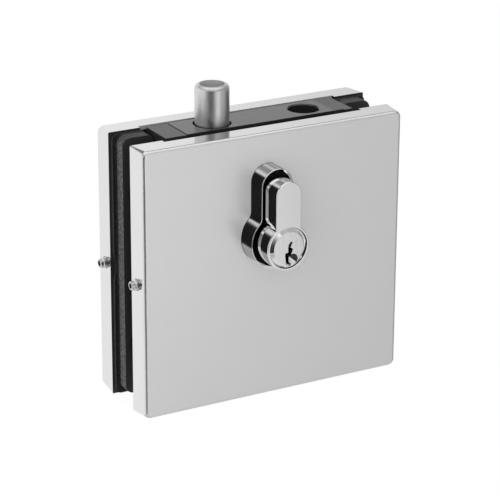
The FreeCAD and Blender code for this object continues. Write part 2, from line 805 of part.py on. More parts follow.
front_cover = cover()
save("front_cover", front_cover)
save("back_cover", mirror_y(front_cover))
front_collar = collar()
save("front_collar", front_collar)
save("back_collar", mirror_y(front_collar))
save("front_body", front_body())
save("back_body", back_body())
save("front_gasket", gasket(front_pad_y, glass_front, body_top))
save("back_gasket", gasket(glass_back, back_pad_y, gasket_top))
save("clamp_screws", clamp_screws())
save("clamp_sleeves", clamp_sleeves())
save("set_screws", set_screws())
save("lock_case", lock_case())
save("case_lid", case_lid())
save("lid_screws", lid_screws())
save("faceplate", faceplate())
save("faceplate_screws", faceplate_screws())
save("bolt", bolt())
save("bolt_carrier", bolt_carrier())
save("carrier_pin", carrier_pin())
save("bolt_bush", bolt_bush())
save("friction_pad", friction_pad())
save("pad_spring", pad_spring())
save("cylinder_housing", cylinder_housing())
front_plug = plug(drive_in)
rear_plug = mirror_y(plug(drive_out))
save("front_plug", front_plug)
save("rear_plug", rear_plug)
front_pins = key_pins()
save("front_key_pins", front_pins)
save("rear_key_pins", mirror_y(front_pins))
save("driver_pins", driver_pins())
save("driver_springs", driver_springs())
front_clip = circlip()
save("front_circlip", front_clip)
save("rear_circlip", mirror_y(front_clip))
save("cam", cam())
save("cam_clutch", cam_clutch())
save("cylinder_screw", cylinder_screw())
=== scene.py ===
import math
import bpy
import bmesh
from mathutils import Matrix, Vector


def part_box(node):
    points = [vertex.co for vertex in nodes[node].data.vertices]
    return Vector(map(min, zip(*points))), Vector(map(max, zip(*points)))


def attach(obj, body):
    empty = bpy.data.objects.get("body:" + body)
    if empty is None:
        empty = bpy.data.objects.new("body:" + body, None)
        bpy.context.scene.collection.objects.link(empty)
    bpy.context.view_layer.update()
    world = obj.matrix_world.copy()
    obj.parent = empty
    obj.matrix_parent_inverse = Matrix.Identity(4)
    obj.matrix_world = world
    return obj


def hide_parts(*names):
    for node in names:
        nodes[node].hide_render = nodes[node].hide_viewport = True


# Looks of a glass door patch lock around its CAD: camera, studio and finishes, then the set
# screws, collars and plugs again with finer shapes
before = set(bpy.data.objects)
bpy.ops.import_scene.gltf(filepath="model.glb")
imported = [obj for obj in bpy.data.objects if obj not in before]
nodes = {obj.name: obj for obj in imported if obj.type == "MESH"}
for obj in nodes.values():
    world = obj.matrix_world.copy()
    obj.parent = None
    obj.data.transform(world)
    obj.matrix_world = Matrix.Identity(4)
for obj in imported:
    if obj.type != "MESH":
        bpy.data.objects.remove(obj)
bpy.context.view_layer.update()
mm = 0.001
print("frame loaded:", len(nodes), "nodes")


# Camera, fitted to the covers' corners in the photograph
shot = {
    "azimuth": -29.2233,
    "elevation": 20.5127,
    "roll": 0.2728,
    "distance": 0.8346961,
    "target": (-0.0000437, 0.0, 0.0495285),
    "lens": 164.35,
}


def placeCamera():
    a = math.radians(shot["azimuth"])
    e = math.radians(shot["elevation"])
    r = math.radians(shot["roll"])
    back = Vector((math.sin(a) * math.cos(e), -math.cos(a) * math.cos(e), math.sin(e)))
    side = Vector((math.cos(a), math.sin(a), 0))
    top = back.cross(side)
    right = side * math.cos(r) + top * math.sin(r)
    up = top * math.cos(r) - side * math.sin(r)
    lensData = bpy.data.cameras.new("photoCamera")
    lensData.lens = shot["lens"]
    lensData.sensor_width = 36
    lensData.clip_start = 0.01
    lensData.clip_end = 20
    cam = bpy.data.objects.new("photoCamera", lensData)
    bpy.context.collection.objects.link(cam)
    turn = Matrix((right, up, back)).transposed().to_4x4()
    cam.matrix_world = Matrix.Translation(Vector(shot["target"]) + back * shot["distance"]) @ turn
    bpy.context.scene.camera = cam


placeCamera()
bpy.context.scene.view_settings.view_transform = "Standard"
print("camera placed")


# Small helpers for node trees
def put(tree, kind, **settings):
    node = tree.nodes.new(kind)
    for key, value in settings.items():
        setattr(node, key, value)
    return node


def feed(tree, socket, value):
    # A socket takes a link from another socket, or a plain value.
    if isinstance(value, bpy.types.NodeSocket):
        tree.links.new(value, socket)
    else:
        socket.default_value = value


def calc(tree, how, a, b=0.0, clamp=False):
    node = put(tree, "ShaderNodeMath", operation=how, use_clamp=clamp)
    feed(tree, node.inputs[0], a)
    feed(tree, node.inputs[1], b)
    return node.outputs[0]


def calcVector(tree, how, a, b=(0, 0, 0)):
    # A length or a dot product comes out as a number, all else as a vector.
    node = put(tree, "ShaderNodeVectorMath", operation=how)
    feed(tree, node.inputs[0], a)
    feed(tree, node.inputs[1], b)
    return node.outputs["Value" if how in ("LENGTH", "DOT_PRODUCT") else "Vector"]


def axes(tree, vector):
    # A vector's x, y and z, each as a number
    node = put(tree, "ShaderNodeSeparateXYZ")
    feed(tree, node.inputs[0], vector)
    return node.outputs


def ramp(tree, value, fromLow, fromHigh, toLow=0.0, toHigh=1.0, smooth=False):
    node = put(tree, "ShaderNodeMapRange", interpolation_type="SMOOTHSTEP" if smooth else "LINEAR")
    for i, v in enumerate((value, fromLow, fromHigh, toLow, toHigh)):
        feed(tree, node.inputs[i], v)
    return node.outputs[0]


# A Mix node has sockets for every kind of data under the same names, so they are taken by number.
def blendTone(tree, share, a, b):
    node = put(tree, "ShaderNodeMix", data_type="RGBA")
    feed(tree, node.inputs[0], share)
    feed(tree, node.inputs[6], a)
    feed(tree, node.inputs[7], b)
    return node.outputs[2]


def blendValue(tree, share, a, b):
    node = put(tree, "ShaderNodeMix", data_type="FLOAT")
    feed(tree, node.inputs[0], share)
    feed(tree, node.inputs[2], a)
    feed(tree, node.inputs[3], b)
    return node.outputs[0]


def grey(v):
    return (v, v, v, 1)


def newPiece(bm, name, *mats):
    # An object of its own from a finished bmesh, with its materials
    mesh = bpy.data.meshes.new(name)
    bm.to_mesh(mesh)
    bm.free()
    piece = bpy.data.objects.new(name, mesh)
    bpy.context.collection.objects.link(piece)
    for mat in mats:
        mesh.materials.append(mat)
    return piece


# Studio: bright behind and on the left, dark in front, with a pale table low on the right.
# Zones are azimuths (0 in front, plus to the right) and elevations in degrees. The rear and the
# table change their level along x, the ray's share to the right.
studio = {
    "rear": 1.06,
    "rearDim": 0.80,
    "rearFade": (0.40, 0.53),
    "ceiling": 0.28,
    "ceilingFrom": (28, 35),
    "zenith": 1.15,
    "zenithFrom": (44, 52),
    "low": 0.46,
    "lowFrom": (-26, -31),
    "lowAzimuth": (-60, -45, 60, 90),
    "ground": 0.75,
    "groundFrom": (-34, -46),
    "right": 0.36,
    "rightFrom": (50, 62),
    "rightTo": (100, 130),
    "table": (0.36, 0.59, 1.18, 0.18),
    "tableAzimuth": (9, 14, 38, 50),
    "tableElevation": (-29, -25, 0, 9),
    "dark": 0.015,
    "darkAzimuth": (-84, -42, -22, 5),
    "darkElevation": (-29, -26, 20, 27),
    "veil": 0.46,
    "veilAzimuth": (0, 8, 62, 80),
    "veilElevation": (3, 15, 23, 31),
    "fill": 0.45,
    "lampPlace": (-0.16, -0.26, 0.14),
    "lampAim": (0, 0, 0.05),
    "lampSize": 0.36,
    "lampWatts": 0.42,
}


def span(tree, value, edges):
    # 1 between the two middle edges, smoothly 0 outside the outer ones, all in degrees
    a, b, c, d = [math.radians(e) for e in edges]
    rise = ramp(tree, value, a, b, smooth=True)
    return calc(tree, "MULTIPLY", rise, ramp(tree, value, d, c, smooth=True))


def step(tree, value, edges):
    # Smoothly from 0 at the first edge to 1 at the second, in degrees
    return ramp(tree, value, math.radians(edges[0]), math.radians(edges[1]), smooth=True)


def buildStudio():
    world = bpy.data.worlds.new("studio")
    bpy.context.scene.world = world
    world.use_nodes = True
    tree = world.node_tree
    tree.nodes.clear()
    x, y, z = axes(tree, put(tree, "ShaderNodeTexCoord").outputs["Generated"])
    azimuth = calc(tree, "ARCTAN2", x, calc(tree, "MULTIPLY", y, -1.0))
    elevation = calc(tree, "ARCSINE", z)
    level = ramp(tree, x, *studio["rearFade"], studio["rear"], studio["rearDim"])
    level = blendValue(tree, step(tree, elevation, studio["ceilingFrom"]), level, studio["ceiling"])
    side = span(tree, azimuth, studio["rightFrom"] + studio["rightTo"])
    level = blendValue(tree, side, level, studio["right"])
    level = blendValue(tree, step(tree, elevation, studio["zenithFrom"]), level, studio["zenith"])
    front = span(tree, azimuth, studio["lowAzimuth"])
    low = calc(tree, "MULTIPLY", front, step(tree, elevation, studio["lowFrom"]))
    level = blendValue(tree, low, level, studio["low"])
    level = blendValue(tree, step(tree, elevation, studio["groundFrom"]), level, studio["ground"])
    tableLevel = ramp(tree, x, *studio["table"])
    table = calc(tree, "MULTIPLY", span(tree, azimuth, studio["tableAzimuth"]),
                 span(tree, elevation, studio["tableElevation"]))
    level = blendValue(tree, table, level, tableLevel)
    dark = calc(tree, "MULTIPLY", span(tree, azimuth, studio["darkAzimuth"]),
                span(tree, elevation, studio["darkElevation"]))
    level = blendValue(tree, dark, level, studio["dark"])
    veil = calc(tree, "MULTIPLY", span(tree, azimuth, studio["veilAzimuth"]),
                span(tree, elevation, studio["veilElevation"]))
    level = blendValue(tree, veil, level, studio["veil"])
    path = put(tree, "ShaderNodeLightPath")
    level = blendValue(tree, path.outputs["Is Diffuse Ray"], level, studio["fill"])
    level = blendValue(tree, path.outputs["Is Camera Ray"], level, 1.0)
    sky = put(tree, "ShaderNodeBackground")
    feed(tree, sky.inputs["Color"], level)
    out = put(tree, "ShaderNodeOutputWorld")
    feed(tree, out.inputs["Surface"], sky.outputs[0])

    lampData = bpy.data.lights.new("softLamp", "AREA")
    lampData.shape = "DISK"
    lampData.size = studio["lampSize"]
    lampData.energy = studio["lampWatts"]
    lamp = bpy.data.objects.new("softLamp", lampData)
    bpy.context.collection.objects.link(lamp)
    lamp.location = studio["lampPlace"]
    toPart = Vector(studio["lampAim"]) - Vector(studio["lampPlace"])
    lamp.rotation_euler = toPart.to_track_quat("-Z", "Y").to_euler()
    lamp.visible_glossy = False


floorLook = {
    "radius": 2.5,
    "sides": 96,
    "gap": 0.2 * mm,
    "shadowShare": 0.12,
    "tone": 0.9,
    "glow": 1.08,
}


def buildFloor():
    bm = bmesh.new()
    bmesh.ops.create_circle(bm, cap_ends=True, segments=floorLook["sides"],
                            radius=floorLook["radius"])
    bmesh.ops.translate(bm, verts=bm.verts, vec=(0, 0, -floorLook["gap"]))
    mat = bpy.data.materials.new("paleFloor")
    mat.use_nodes = True
    tree = mat.node_tree
    tree.nodes.clear()
    path = put(tree, "ShaderNodeLightPath")
    matte = put(tree, "ShaderNodeBsdfDiffuse")
    matte.inputs["Color"].default_value = grey(floorLook["tone"])
    glow = put(tree, "ShaderNodeEmission")
    glow.inputs["Strength"].default_value = floorLook["glow"]
    seen = put(tree, "ShaderNodeMixShader")
    seen.inputs[0].default_value = floorLook["shadowShare"]
    feed(tree, seen.inputs[1], glow.outputs[0])
    feed(tree, seen.inputs[2], matte.outputs[0])
    base = put(tree, "ShaderNodeMixShader")
    feed(tree, base.inputs[0], path.outputs["Is Camera Ray"])
    feed(tree, base.inputs[1], matte.outputs[0])
    feed(tree, base.inputs[2], seen.outputs[0])
    # Reflections look through to the studio's own low part
    clear = put(tree, "ShaderNodeBsdfTransparent")
    whole = put(tree, "ShaderNodeMixShader")
    feed(tree, whole.inputs[0], path.outputs["Is Glossy Ray"])
    feed(tree, whole.inputs[1], base.outputs[0])
    feed(tree, whole.inputs[2], clear.outputs[0])
    out = put(tree, "ShaderNodeOutputMaterial")
    feed(tree, out.inputs["Surface"], whole.outputs[0])
    floor = newPiece(bm, "studioFloor", mat)


buildStudio()
buildFloor()
print("studio ready")


# Shared effects, each a node group that puts out masks and heights only
def newGroup(name, takes, gives):
    # Every effect takes a place, and the numbers named here.
    group = bpy.data.node_groups.new(name, "ShaderNodeTree")
    group.interface.new_socket("Place", in_out="INPUT", socket_type="NodeSocketVector")
    for label in takes:
        group.interface.new_socket(label, in_out="INPUT", socket_type="NodeSocketFloat")
    for label in gives:
        group.interface.new_socket(label, in_out="OUTPUT", socket_type="NodeSocketFloat")
    start = group.nodes.new("NodeGroupInput")
    end = group.nodes.new("NodeGroupOutput")
    return group, start, end


def noise(tree, place, scale, detail=3.0, rough=0.5, twist=0.0):
    node = put(tree, "ShaderNodeTexNoise")
    feed(tree, node.inputs["Vector"], place)
    feed(tree, node.inputs["Scale"], scale)
    feed(tree, node.inputs["Detail"], detail)
    feed(tree, node.inputs["Roughness"], rough)
    feed(tree, node.inputs["Distortion"], twist)
    return node.outputs[0]


def stretched(tree, place, scale):
    return calcVector(tree, "MULTIPLY", place, scale)


effectLook = {
    "wornEdge": (0.995, 0.86),  # cosine between the plain and the rounded normal
    "wornScale": 900.0,
    "wornPatches": (0.35, 0.62),
    "wideLines": (90, 5200, 5200),
    "fineLines": (220, 11000, 11000),
    "wideShare": 0.6,
    "fineShare": 0.4,
    "polishClouds": 45.0,
    "grainShare": 0.7,
    "pitShare": 0.5,
    "castClouds": 120.0,
}
noiseRange = (0.3, 0.7)  # where nearly all values of a noise lie


def makeEdgeWear():
    # White where a sharp edge is rubbed, broken up by noise
    group, start, end = newGroup("edgeWear", ["Width", "Amount"], ["Mask"])
    rounded = put(group, "ShaderNodeBevel", samples=4)
    feed(group, rounded.inputs["Radius"], start.outputs["Width"])
    plain = put(group, "ShaderNodeNewGeometry")
    turned = calcVector(group, "DOT_PRODUCT", rounded.outputs[0], plain.outputs["Normal"])
    edge = ramp(group, turned, *effectLook["wornEdge"])
    patches = noise(group, start.outputs["Place"], effectLook["wornScale"], detail=4.0)
    mask = calc(group, "MULTIPLY", edge, ramp(group, patches, *effectLook["wornPatches"]))
    mask = calc(group, "MULTIPLY", mask, start.outputs["Amount"], clamp=True)
    feed(group, end.inputs["Mask"], mask)
    return group


def makeFineLines():
    # Faint straight polishing lines, and slow clouds of finger-wiped polish
    group, start, end = newGroup("polishLines", [], ["Lines", "Clouds"])
    place = start.outputs["Place"]
    wide = noise(group, stretched(group, place, effectLook["wideLines"]), 1.0, detail=2.0)
    fine = noise(group, stretched(group, place, effectLook["fineLines"]), 1.0, detail=2.0)
    lines = calc(group, "ADD", calc(group, "MULTIPLY", wide, effectLook["wideShare"]),
                 calc(group, "MULTIPLY", fine, effectLook["fineShare"]))
    feed(group, end.inputs["Lines"], lines)
    clouds = noise(group, place, effectLook["polishClouds"], rough=0.55, twist=0.6)
    feed(group, end.inputs["Clouds"], clouds)
    return group


def makeCastGrain():
    # Pebbled skin of a coated casting
    group, start, end = newGroup("castGrain", ["Grain"], ["Height", "Clouds"])
    place = start.outputs["Place"]
    small = noise(group, place, start.outputs["Grain"], rough=0.6)
    pits = put(group, "ShaderNodeTexVoronoi", feature="SMOOTH_F1")
    feed(group, pits.inputs["Vector"], place)
    feed(group, pits.inputs["Scale"], start.outputs["Grain"])
    height = calc(group, "ADD", calc(group, "MULTIPLY", small, effectLook["grainShare"]),
                  calc(group, "MULTIPLY", pits.outputs["Distance"], effectLook["pitShare"]))
    feed(group, end.inputs["Height"], height)
    feed(group, end.inputs["Clouds"], noise(group, place, effectLook["castClouds"]))
    return group


effects = {"edgeWear": makeEdgeWear(), "polishLines": makeFineLines(), "castGrain": makeCastGrain()}
print("shared effects:", len(effects))


def newFinish(name, **fixed):
    # A material with one Principled shader; fixed values go straight on its sockets
    mat = bpy.data.materials.new(name)
    mat.use_nodes = True
    tree = mat.node_tree
    tree.nodes.clear()
    skin = put(tree, "ShaderNodeBsdfPrincipled")
    out = put(tree, "ShaderNodeOutputMaterial")
    feed(tree, out.inputs["Surface"], skin.outputs[0])
    for label, value in fixed.items():
        skin.inputs[label].default_value = value
    place = put(tree, "ShaderNodeTexCoord").outputs["Object"]
    return mat, tree, skin, place


def useEffect(tree, name, place, **values):
    node = put(tree, "ShaderNodeGroup", node_tree=effects[name])
    feed(tree, node.inputs["Place"], place)
    for label, value in values.items():
        feed(tree, node.inputs[label], value)
    return node.outputs


def addRelief(tree, skin, height, depth, strength=1.0):
    bump = put(tree, "ShaderNodeBump")
    bump.inputs["Strength"].default_value = strength
    bump.inputs["Distance"].default_value = depth
    feed(tree, bump.inputs["Height"], height)
    feed(tree, skin.inputs["Normal"], bump.outputs[0])


def facing(tree, edges, axis=1):
    # 1 where the surface faces along this axis, either way
    way = axes(tree, put(tree, "ShaderNodeTexCoord").outputs["Normal"])
    return ramp(tree, calc(tree, "ABSOLUTE", way[axis]), *edges, smooth=True)


def dress(mat, *names):
    for name in names:
        piece = nodes[name]
        if not piece.material_slots:
            piece.data.materials.append(mat)
        for s in piece.material_slots:
            s.material = mat


# Covers: pressed steel, satin on the face, smoother on the rounded edges, polished on the flanges
coverLook = {
    "tone": 0.70,
    "faceTone": 0.74,
    "toneSpread": 0.015,
    "rough": (0.09, 0.14),
    "faceRough": 0.38,
    "faceMetal": 0.38,
    "faceFrom": (0.93, 0.995),
    "topShare": 0.25,
    "edgeRough": 0.30,
    "edgeFrom": (0.1, 0.6),
    "lineDepth": 0.0006 * mm,
    "rimShadeTone": 0.02,
    "rimRough": 0.5,
    "rimNear": 0.05 * mm,
}


def finishCovers():
    mat, tree, skin, place = newFinish("polishedSteel")
    lines = useEffect(tree, "polishLines", place)
    way = axes(tree, put(tree, "ShaderNodeTexCoord").outputs["Normal"])
    upward = calc(tree, "MULTIPLY", calc(tree, "ABSOLUTE", way[2]), coverLook["topShare"])
    faced = calc(tree, "ADD", calc(tree, "ABSOLUTE", way[1]), upward)
    flat = ramp(tree, faced, *coverLook["faceFrom"], smooth=True)
    # Where another piece mirrors the face, it is polished
    mirrored = put(tree, "ShaderNodeLightPath").outputs["Is Glossy Ray"]
    face = calc(tree, "MULTIPLY", flat, calc(tree, "SUBTRACT", 1.0, mirrored))
    edge = calc(tree, "SUBTRACT", facing(tree, coverLook["edgeFrom"]), flat, clamp=True)
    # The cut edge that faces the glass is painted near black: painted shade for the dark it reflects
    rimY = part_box("back_cover")[0].y + coverLook["rimNear"]
    rim = calc(tree, "LESS_THAN", calc(tree, "ABSOLUTE", axes(tree, place)[1]), rimY)
    t = blendValue(tree, face, coverLook["tone"], coverLook["faceTone"])
    cloud = ramp(tree, lines["Clouds"], 0.0, 1.0, -coverLook["toneSpread"], coverLook["toneSpread"])
    tone = blendValue(tree, rim, calc(tree, "ADD", t, cloud), coverLook["rimShadeTone"])
    feed(tree, skin.inputs["Base Color"], tone)
    metal = blendValue(tree, face, 1.0, coverLook["faceMetal"])
    feed(tree, skin.inputs["Metallic"], blendValue(tree, rim, metal, 0.0))
    rough = ramp(tree, lines["Lines"], *noiseRange, *coverLook["rough"])
    rough = blendValue(tree, edge, rough, coverLook["edgeRough"])
    rough = blendValue(tree, face, rough, coverLook["faceRough"])
    feed(tree, skin.inputs["Roughness"], blendValue(tree, rim, rough, coverLook["rimRough"]))
    addRelief(tree, skin, lines["Lines"], coverLook["lineDepth"])
    dress(mat, "front_cover", "back_cover")


# Collars and cylinder: mirror chrome with a trace of wiping
chromeLook = {"tone": 0.88, "toneSpread": 0.02, "wiped": (0.35, 0.7), "rough": (0.02, 0.045)}


def finishChrome():
    mat, tree, skin, place = newFinish("mirrorChrome", Metallic=1.0)
    lines = useEffect(tree, "polishLines", place)
    dark = grey(chromeLook["tone"] - chromeLook["toneSpread"])
    light = grey(chromeLook["tone"] + chromeLook["toneSpread"])
    feed(tree, skin.inputs["Base Color"], blendTone(tree, lines["Clouds"], dark, light))
    rough = ramp(tree, lines["Clouds"], *chromeLook["wiped"], *chromeLook["rough"])
    feed(tree, skin.inputs["Roughness"], rough)
    dress(mat, "cylinder_housing")
    return mat


# Plugs: chrome faintly scratched by keys, painted shade round the head, a dimple with painted light
# and shade
plugLook = {
    "axis": (-3.5 * mm, 0, 62.0 * mm),
    "tone": 0.87,
    "rough": 0.07,
    "marks": (900, 900, 260),
    "markFrom": (0.56, 0.72),
    "markTone": 0.12,
    "markRough": 0.12,
    "markDepth": 0.002 * mm,
    "seamShade": 0.08,
    "seamShadeFrom": (7.26 * mm, 7.38 * mm),
    "dimple": 2.03 * mm,
    "dimplePlace": (1.7 * mm, 0, -4.4 * mm),
    "dimpleFrom": (0.2, 0.35),
    "dimpleShade": 0.03,
    "dimpleShadeTurn": 0.75,
    "dimpleShadeFrom": (-0.05 * mm, 0.1 * mm),
    "dimpleHighlight": 0.92,
    "dimpleHighlightMetal": 0.35,
    "dimpleHighlightRough": 0.4,
}


def finishPlugs():
    mat, tree, skin, place = newFinish("plugChrome")
    drawn = stretched(tree, place, plugLook["marks"])
    marks = noise(tree, drawn, 1.0, detail=5.0, rough=0.7, twist=0.8)
    marks = ramp(tree, marks, *plugLook["markFrom"])
    flat = stretched(tree, calcVector(tree, "SUBTRACT", place, plugLook["axis"]), (1, 0, 1))
    # Painted shade: the ring round the head is darkened for the shadow in the gap there
    seamShade = ramp(tree, calcVector(tree, "LENGTH", flat), *plugLook["seamShadeFrom"])
    # Painted light in the dimple: a pale painted highlight on its lower left, painted shade on its
    # upper right
    dish = calcVector(tree, "SUBTRACT", flat, plugLook["dimplePlace"])
    inside = calc(tree, "LESS_THAN", calcVector(tree, "LENGTH", dish), plugLook["dimple"])
    inside = calc(tree, "MULTIPLY", inside, facing(tree, plugLook["dimpleFrom"]))
    parts = axes(tree, dish)
    turn = plugLook["dimpleShadeTurn"]
    upward = calc(tree, "ADD", calc(tree, "MULTIPLY", parts[0], math.sin(turn)),
                  calc(tree, "MULTIPLY", parts[2], math.cos(turn)))
    dimpleShaded = ramp(tree, upward, *plugLook["dimpleShadeFrom"])
    t = plugLook["tone"]
    tone = blendTone(tree, marks, grey(t), grey(t - plugLook["markTone"]))
    tone = blendTone(tree, seamShade, tone, grey(plugLook["seamShade"]))
    dimpleLightAndShade = blendTone(tree, dimpleShaded, grey(plugLook["dimpleHighlight"]), grey(plugLook["dimpleShade"]))
    feed(tree, skin.inputs["Base Color"], blendTone(tree, inside, tone, dimpleLightAndShade))
    feed(tree, skin.inputs["Metallic"], blendValue(tree, inside, 1.0, plugLook["dimpleHighlightMetal"]))
    scuffed = calc(tree, "MULTIPLY", marks, plugLook["markRough"])
    rough = calc(tree, "ADD", plugLook["rough"], scuffed)
    feed(tree, skin.inputs["Roughness"], blendValue(tree, inside, rough, plugLook["dimpleHighlightRough"]))
    addRelief(tree, skin, marks, plugLook["markDepth"])
    dress(mat, "front_plug", "rear_plug")
    return mat


# Clamp bodies, case and lid: black coated casting
castingLook = {
    "dark": 0.0096,
    "light": 0.015,
    "worn": 0.11,
    "wornWidth": 0.4 * mm,
    "wornAmount": 0.9,
    "grain": 1500.0,
    "depth": 0.05 * mm,
    "relief": 0.5,
    "rough": (0.54, 0.68),
}


def finishCastings():
    mat, tree, skin, place = newFinish("blackCasting", **{"IOR": 1.45, "Specular IOR Level": 0.3})
    skinGrain = useEffect(tree, "castGrain", place, Grain=castingLook["grain"])
    wear = useEffect(tree, "edgeWear", place, Width=castingLook["wornWidth"],
                     Amount=castingLook["wornAmount"])
    dark, light = grey(castingLook["dark"]), grey(castingLook["light"])
    tone = blendTone(tree, skinGrain["Clouds"], dark, light)
    tone = blendTone(tree, wear["Mask"], tone, grey(castingLook["worn"]))
    feed(tree, skin.inputs["Base Color"], tone)
    rough = ramp(tree, skinGrain["Clouds"], *noiseRange, *castingLook["rough"])
    feed(tree, skin.inputs["Roughness"], rough)
    addRelief(tree, skin, skinGrain["Height"], castingLook["depth"], castingLook["relief"])
    dress(mat, "front_body", "back_body", "lock_case", "case_lid")
    return mat


# Faceplate: satin black steel, rubbed bare along its edges
plateLook = {
    "dark": 0.0192,
    "light": 0.0312,
    "bare": 0.30,
    "bareMetal": 0.7,
    "bareWidth": 0.22 * mm,
    "bareAmount": 0.7,
    "rough": (0.15, 0.26),
    "endRough": 0.36,
    "endFrom": (29 * mm, 31 * mm),
    "lineDepth": 0.002 * mm,
}


def finishFaceplate():
    mat, tree, skin, place = newFinish("satinBlackSteel", IOR=1.62)
    lines = useEffect(tree, "polishLines", place)
    wear = useEffect(tree, "edgeWear", place, Width=plateLook["bareWidth"],
                     Amount=plateLook["bareAmount"])
    tone = blendTone(tree, lines["Clouds"], grey(plateLook["dark"]), grey(plateLook["light"]))
    tone = blendTone(tree, wear["Mask"], tone, grey(plateLook["bare"]))
    feed(tree, skin.inputs["Base Color"], tone)
    metal = calc(tree, "MULTIPLY", wear["Mask"], plateLook["bareMetal"])
    feed(tree, skin.inputs["Metallic"], metal)
    rough = ramp(tree, lines["Lines"], *noiseRange, *plateLook["rough"])
    ends = ramp(tree, calc(tree, "ABSOLUTE", axes(tree, place)[0]), *plateLook["endFrom"])
    feed(tree, skin.inputs["Roughness"], blendValue(tree, ends, rough, plateLook["endRough"]))
    addRelief(tree, skin, lines["Lines"], plateLook["lineDepth"])
    dress(mat, "faceplate")


# Gaskets: black rubber with a leathery skin
rubberLook = {
    "front": 0.03,
    "sideDark": 0.035,
    "sideLight": 0.125,
    "sideFrom": (0.5, 0.9),
    "grain": 620.0,
    "crease": 0.22,
    "creaseShare": 0.75,
    "wobble": 500,
    "wobbleReach": 1.1 * mm,
    "pores": 2600.0,
    "poreShare": 0.35,
    "flatShare": 0.15,
    "depth": 0.16 * mm,
    "relief": 0.8,
    "rough": (0.47, 0.65),
}


def finishGaskets():
    mat, tree, skin, place = newFinish("leatheryRubber", IOR=1.52)
    wobble = put(tree, "ShaderNodeTexNoise")
    feed(tree, wobble.inputs["Vector"], place)
    feed(tree, wobble.inputs["Scale"], rubberLook["wobble"])
    shift = stretched(tree, wobble.outputs["Color"], [rubberLook["wobbleReach"]] * 3)
    cells = put(tree, "ShaderNodeTexVoronoi", feature="DISTANCE_TO_EDGE")
    feed(tree, cells.inputs["Vector"], calcVector(tree, "ADD", place, shift))
    feed(tree, cells.inputs["Scale"], rubberLook["grain"])
    creases = ramp(tree, cells.outputs["Distance"], 0.0, rubberLook["crease"], smooth=True)
    pores = noise(tree, place, rubberLook["pores"])
    height = calc(tree, "ADD", calc(tree, "MULTIPLY", creases, rubberLook["creaseShare"]),
                  calc(tree, "MULTIPLY", pores, rubberLook["poreShare"]))
    plain = calc(tree, "MULTIPLY", pores, rubberLook["flatShare"])
    height = blendValue(tree, facing(tree, rubberLook["sideFrom"]), height, plain)
    side = facing(tree, rubberLook["sideFrom"], axis=0)
    leather = blendTone(tree, creases, grey(rubberLook["sideDark"]), grey(rubberLook["sideLight"]))
    feed(tree, skin.inputs["Base Color"], blendTone(tree, side, grey(rubberLook["front"]), leather))
    feed(tree, skin.inputs["Roughness"], ramp(tree, pores, *noiseRange, *rubberLook["rough"]))
    addRelief(tree, skin, height, rubberLook["depth"], rubberLook["relief"])
    dress(mat, "front_gasket", "back_gasket")


# Bolt: smooth zinc plate with faint mottling, duller inside its bore
boltLook = {
    "dark": 0.60,
    "light": 0.68,
    "mottle": (0.36, 0.64),
    "streaks": (900, 900, 120),
    "streakShare": 0.5,
    "blots": 420.0,
    "blotShare": 0.5,
    "rough": (0.39, 0.32),
    "depth": 0.01 * mm,
    "relief": 0.08,
    "boreMetal": 0.15,
    "boreRough": 0.5,
    "boreFrom": (4.6 * mm, 4.5 * mm),
}


def finishBolt():
    mat, tree, skin, place = newFinish("satinZinc")
    drawn = stretched(tree, place, boltLook["streaks"])
    streaks = noise(tree, drawn, 1.0, detail=4.0, rough=0.55, twist=0.4)
    blots = noise(tree, place, boltLook["blots"], detail=4.0, rough=0.6, twist=0.8)
    mix = calc(tree, "ADD", calc(tree, "MULTIPLY", streaks, boltLook["streakShare"]),
               calc(tree, "MULTIPLY", blots, boltLook["blotShare"]))
    share = ramp(tree, mix, *boltLook["mottle"])
    tone = blendTone(tree, share, grey(boltLook["dark"]), grey(boltLook["light"]))
    feed(tree, skin.inputs["Base Color"], tone)
    low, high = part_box("bolt")
    middle = ((low.x + high.x) / 2, (low.y + high.y) / 2, 0)
    flat = stretched(tree, calcVector(tree, "SUBTRACT", place, middle), (1, 1, 0))
    bore = ramp(tree, calcVector(tree, "LENGTH", flat), *boltLook["boreFrom"])
    feed(tree, skin.inputs["Metallic"], blendValue(tree, bore, 1.0, boltLook["boreMetal"]))
    rough = ramp(tree, share, 0.0, 1.0, *boltLook["rough"])
    feed(tree, skin.inputs["Roughness"], blendValue(tree, bore, rough, boltLook["boreRough"]))
    addRelief(tree, skin, mix, boltLook["depth"], boltLook["relief"])
    dress(mat, "bolt")


# Screws: bright zinc, mottled lighter and darker at random
screwLook = {
    "dark": 0.52,
    "light": 0.78,
    "blots": 1300.0,
    "mottle": (0.36, 0.64),
    "rough": (0.34, 0.18),
    "depth": 0.02 * mm,
    "relief": 0.4,
}


def finishScrews():
    mat, tree, skin, place = newFinish("screwZinc", Metallic=1.0)
    blots = noise(tree, place, screwLook["blots"], detail=4.0, rough=0.6)
    share = ramp(tree, blots, *screwLook["mottle"])
    tone = blendTone(tree, share, grey(screwLook["dark"]), grey(screwLook["light"]))
    feed(tree, skin.inputs["Base Color"], tone)
    feed(tree, skin.inputs["Roughness"], ramp(tree, blots, *noiseRange, *screwLook["rough"]))
    addRelief(tree, skin, blots, screwLook["depth"], screwLook["relief"])
    dress(mat, "set_screws", "clamp_screws", "lid_screws", "faceplate_screws", "cylinder_screw")
    return mat


